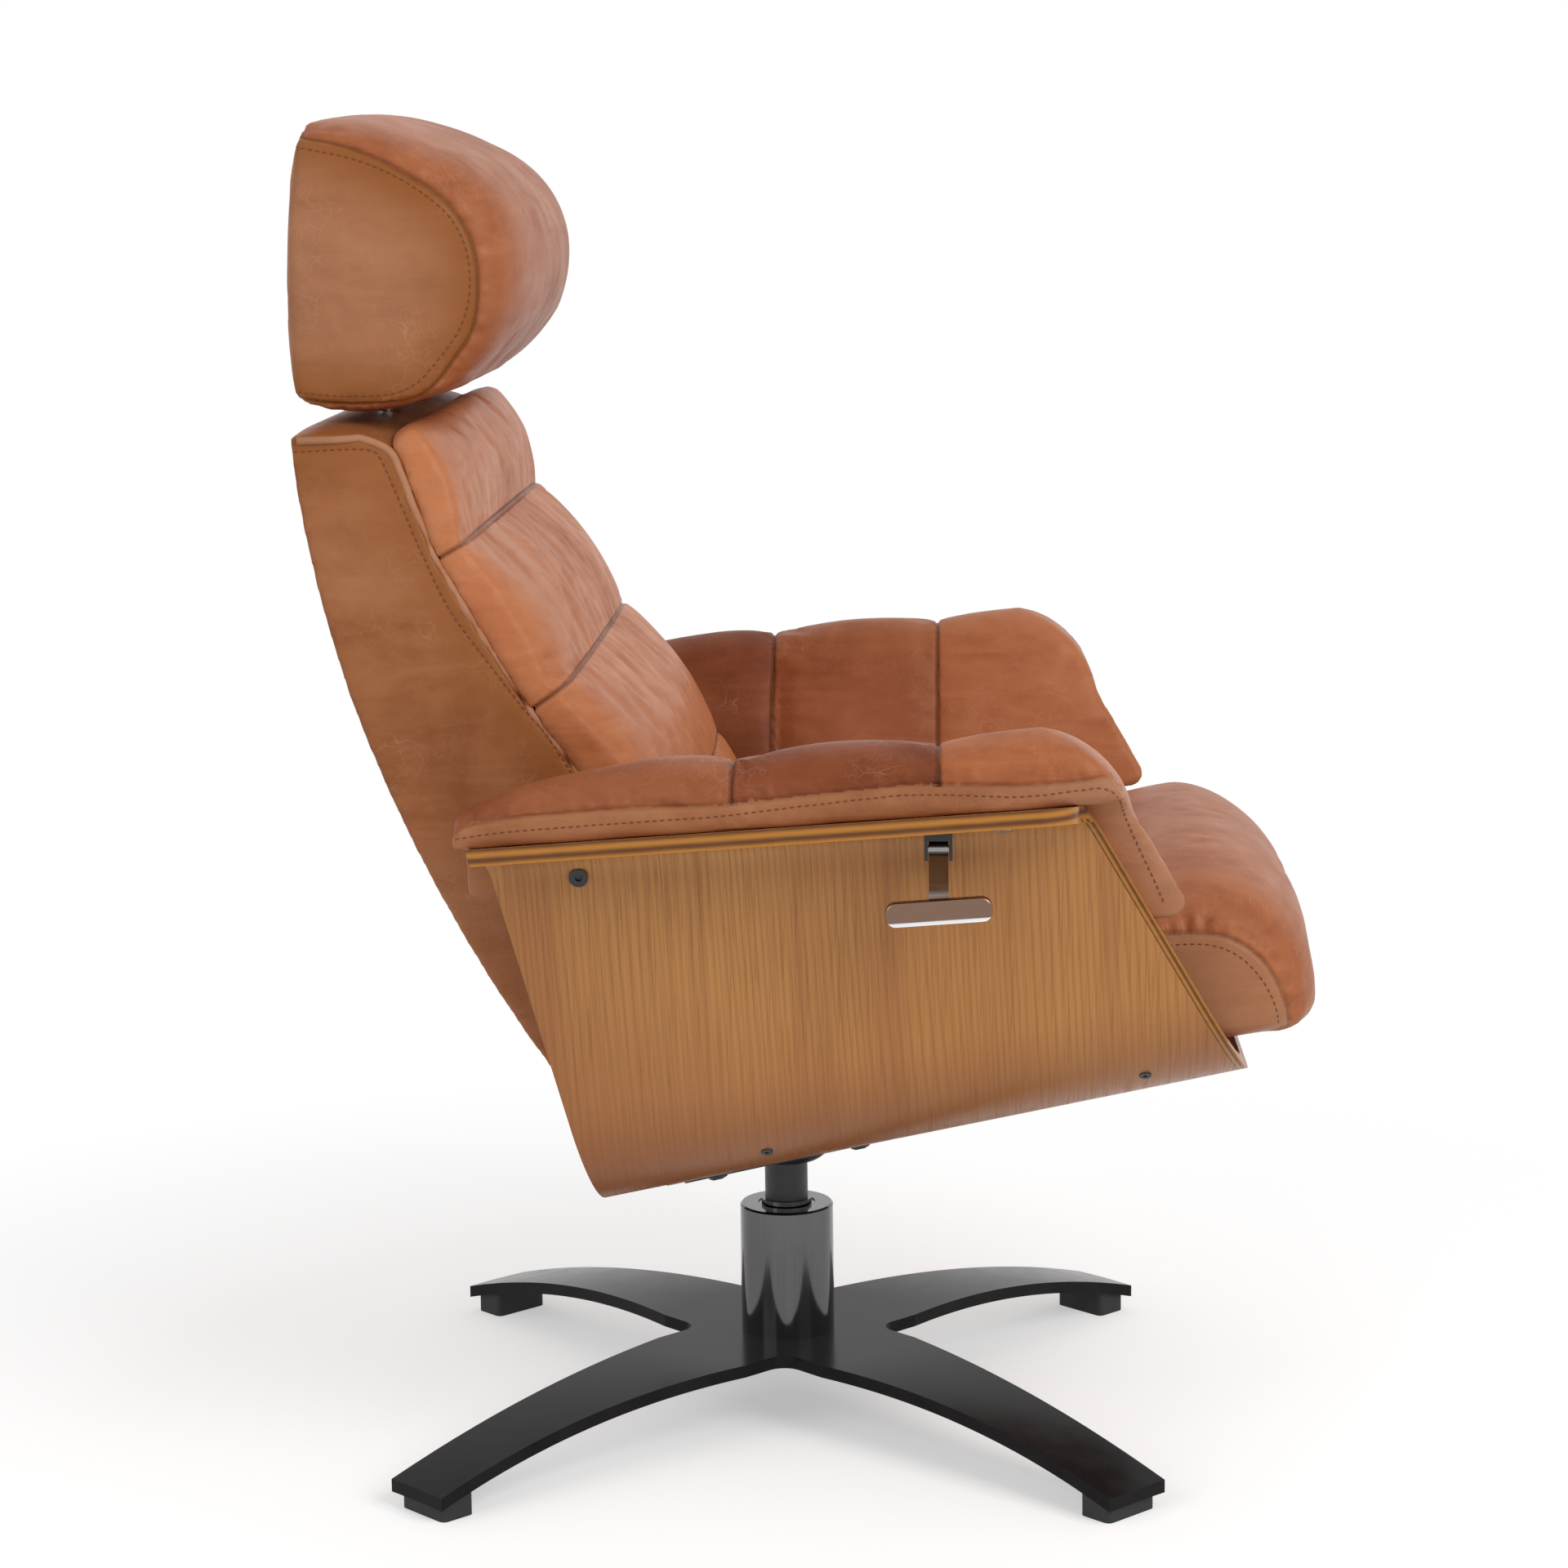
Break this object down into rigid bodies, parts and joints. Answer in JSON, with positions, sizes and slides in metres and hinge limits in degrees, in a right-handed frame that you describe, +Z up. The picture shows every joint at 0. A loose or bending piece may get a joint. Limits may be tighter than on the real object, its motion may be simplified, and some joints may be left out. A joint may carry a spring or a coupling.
{
  "type": "swivel recliner",
  "caption": "Leather swivel recliner: moulded plywood bucket shell with padded arms, reclining channelled back, gliding seat and tilting headrest on an arched cross base.",
  "frame": {"origin": "on the floor, on the swivel axis", "axes": "+X is where the sitter faces, +Y is the sitter's left, +Z is up"},
  "size_m": [0.7659, 0.8, 1.0482],
  "materials": {
    "cognac_leather": "semi-aniline, waxed",
    "cushion_foam": "moulded foam",
    "oak_plywood": "satin lacquer over veneer",
    "inner_board": "raw plywood",
    "gloss_black": "gloss powder coat",
    "black_nickel": "dark brushed plating",
    "satin_black": "satin powder coat",
    "bearing_steel": "ground",
    "zinc_steel": "zinc plated",
    "chrome": "polished",
    "black_nylon": "moulded",
    "pad_rubber": "moulded"
  },
  "bodies": {
    "base": {"base_plate": "gloss_black", "foot_pads": "pad_rubber", "column_tube": "black_nickel", "hub_bolt": "satin_black", "swivel_bearings": "bearing_steel"},
    "chassis": {"swivel_post": "black_nickel", "thrust_collar": "bearing_steel", "retaining_ring": "bearing_steel", "dish_boss": "satin_black", "mount_plate": "satin_black", "packing_board": "inner_board", "plate_bolts": "zinc_steel", "tee_nuts": "zinc_steel", "bucket_shell": "oak_plywood", "rim_screws": "satin_black", "floor_screws": "satin_black", "arm_cover_left": "cognac_leather", "arm_cover_right": "cognac_leather", "arm_foam_left": "cushion_foam", "arm_foam_right": "cushion_foam", "pivot_bracket_left": "satin_black", "pivot_bracket_right": "satin_black", "bracket_screws": "zinc_steel", "pivot_pins": "bearing_steel", "slide_rail_left": "satin_black", "slide_rail_right": "satin_black", "spring_rod": "bearing_steel", "spring_bracket": "satin_black", "release_head": "zinc_steel", "release_pin": "bearing_steel", "release_cable": "black_nylon", "lever_bracket": "satin_black", "lever_pin": "bearing_steel"},
    "back": {"back_frame": "satin_black", "hinge_plate_left": "satin_black", "hinge_plate_right": "satin_black", "pivot_bushes": "black_nylon", "drive_pins": "bearing_steel", "cross_shaft": "satin_black", "spring_pin": "bearing_steel", "back_casing": "cognac_leather", "back_cover": "cognac_leather", "back_foam": "cushion_foam", "headrest_guides": "black_nylon"},
    "seat": {"seat_board": "inner_board", "seat_runner_left": "zinc_steel", "seat_runner_right": "zinc_steel", "seat_gliders": "black_nylon", "drive_fork_left": "satin_black", "drive_fork_right": "satin_black", "seat_cover": "cognac_leather", "seat_foam": "cushion_foam"},
    "gas_cylinder": {"gas_cylinder": "satin_black"},
    "lever": {"release_lever": "chrome"},
    "release_arm": {"release_arm": "zinc_steel"},
    "headrest_carriage": {"headrest_posts": "chrome"},
    "headrest": {"headrest_cover": "cognac_leather", "headrest_foam": "cushion_foam", "headrest_board": "inner_board", "headrest_clamps": "black_nylon"}
  },
  "joints": [
    {"name": "swivel", "type": "hinge", "parent": "base", "child": "chassis", "pos_m": [0, 0, 0.12], "axis": [0, 0, 1], "continuous": true},
    {"name": "recline", "type": "hinge", "parent": "chassis", "child": "back", "pos_m": [-0.125, 0, 0.455], "axis": [0, -1, 0], "range_deg": [0, 25]},
    {"name": "seat_glide", "type": "slide", "parent": "chassis", "child": "seat", "axis": [0.977, 0, 0.213], "range_m": [0, 0.06277]},
    {"name": "gas_stroke", "type": "slide", "parent": "chassis", "child": "gas_cylinder", "axis": [0.977, 0, 0.213], "range_m": [0, 0.08138]},
    {"name": "lever_pull", "type": "hinge", "parent": "chassis", "child": "lever", "pos_m": [0.126, -0.352, 0.52749], "axis": [-1, 0, 0], "range_deg": [0, 20], "stiffness_Nm_per_rad": 1.2},
    {"name": "release_turn", "type": "hinge", "parent": "chassis", "child": "release_arm", "pos_m": [0.2119, 0, 0.33832], "axis": [0, 1, 0], "range_deg": [0, 12]},
    {"name": "headrest_height", "type": "slide", "parent": "back", "child": "headrest_carriage", "axis": [0, 0, 1], "range_m": [0, 0.06]},
    {"name": "headrest_tilt", "type": "hinge", "parent": "headrest_carriage", "child": "headrest", "pos_m": [-0.3, 0, 0.93], "axis": [0, 1, 0], "range_deg": [-5, 30]}
  ],
  "couplings": [
    {"joint": "seat_glide", "follows": "recline", "m_per_rad": 0.14385},
    {"joint": "gas_stroke", "follows": "recline", "m_per_rad": 0.18651},
    {"joint": "release_turn", "follows": "lever_pull", "ratio": 0.6}
  ]
}
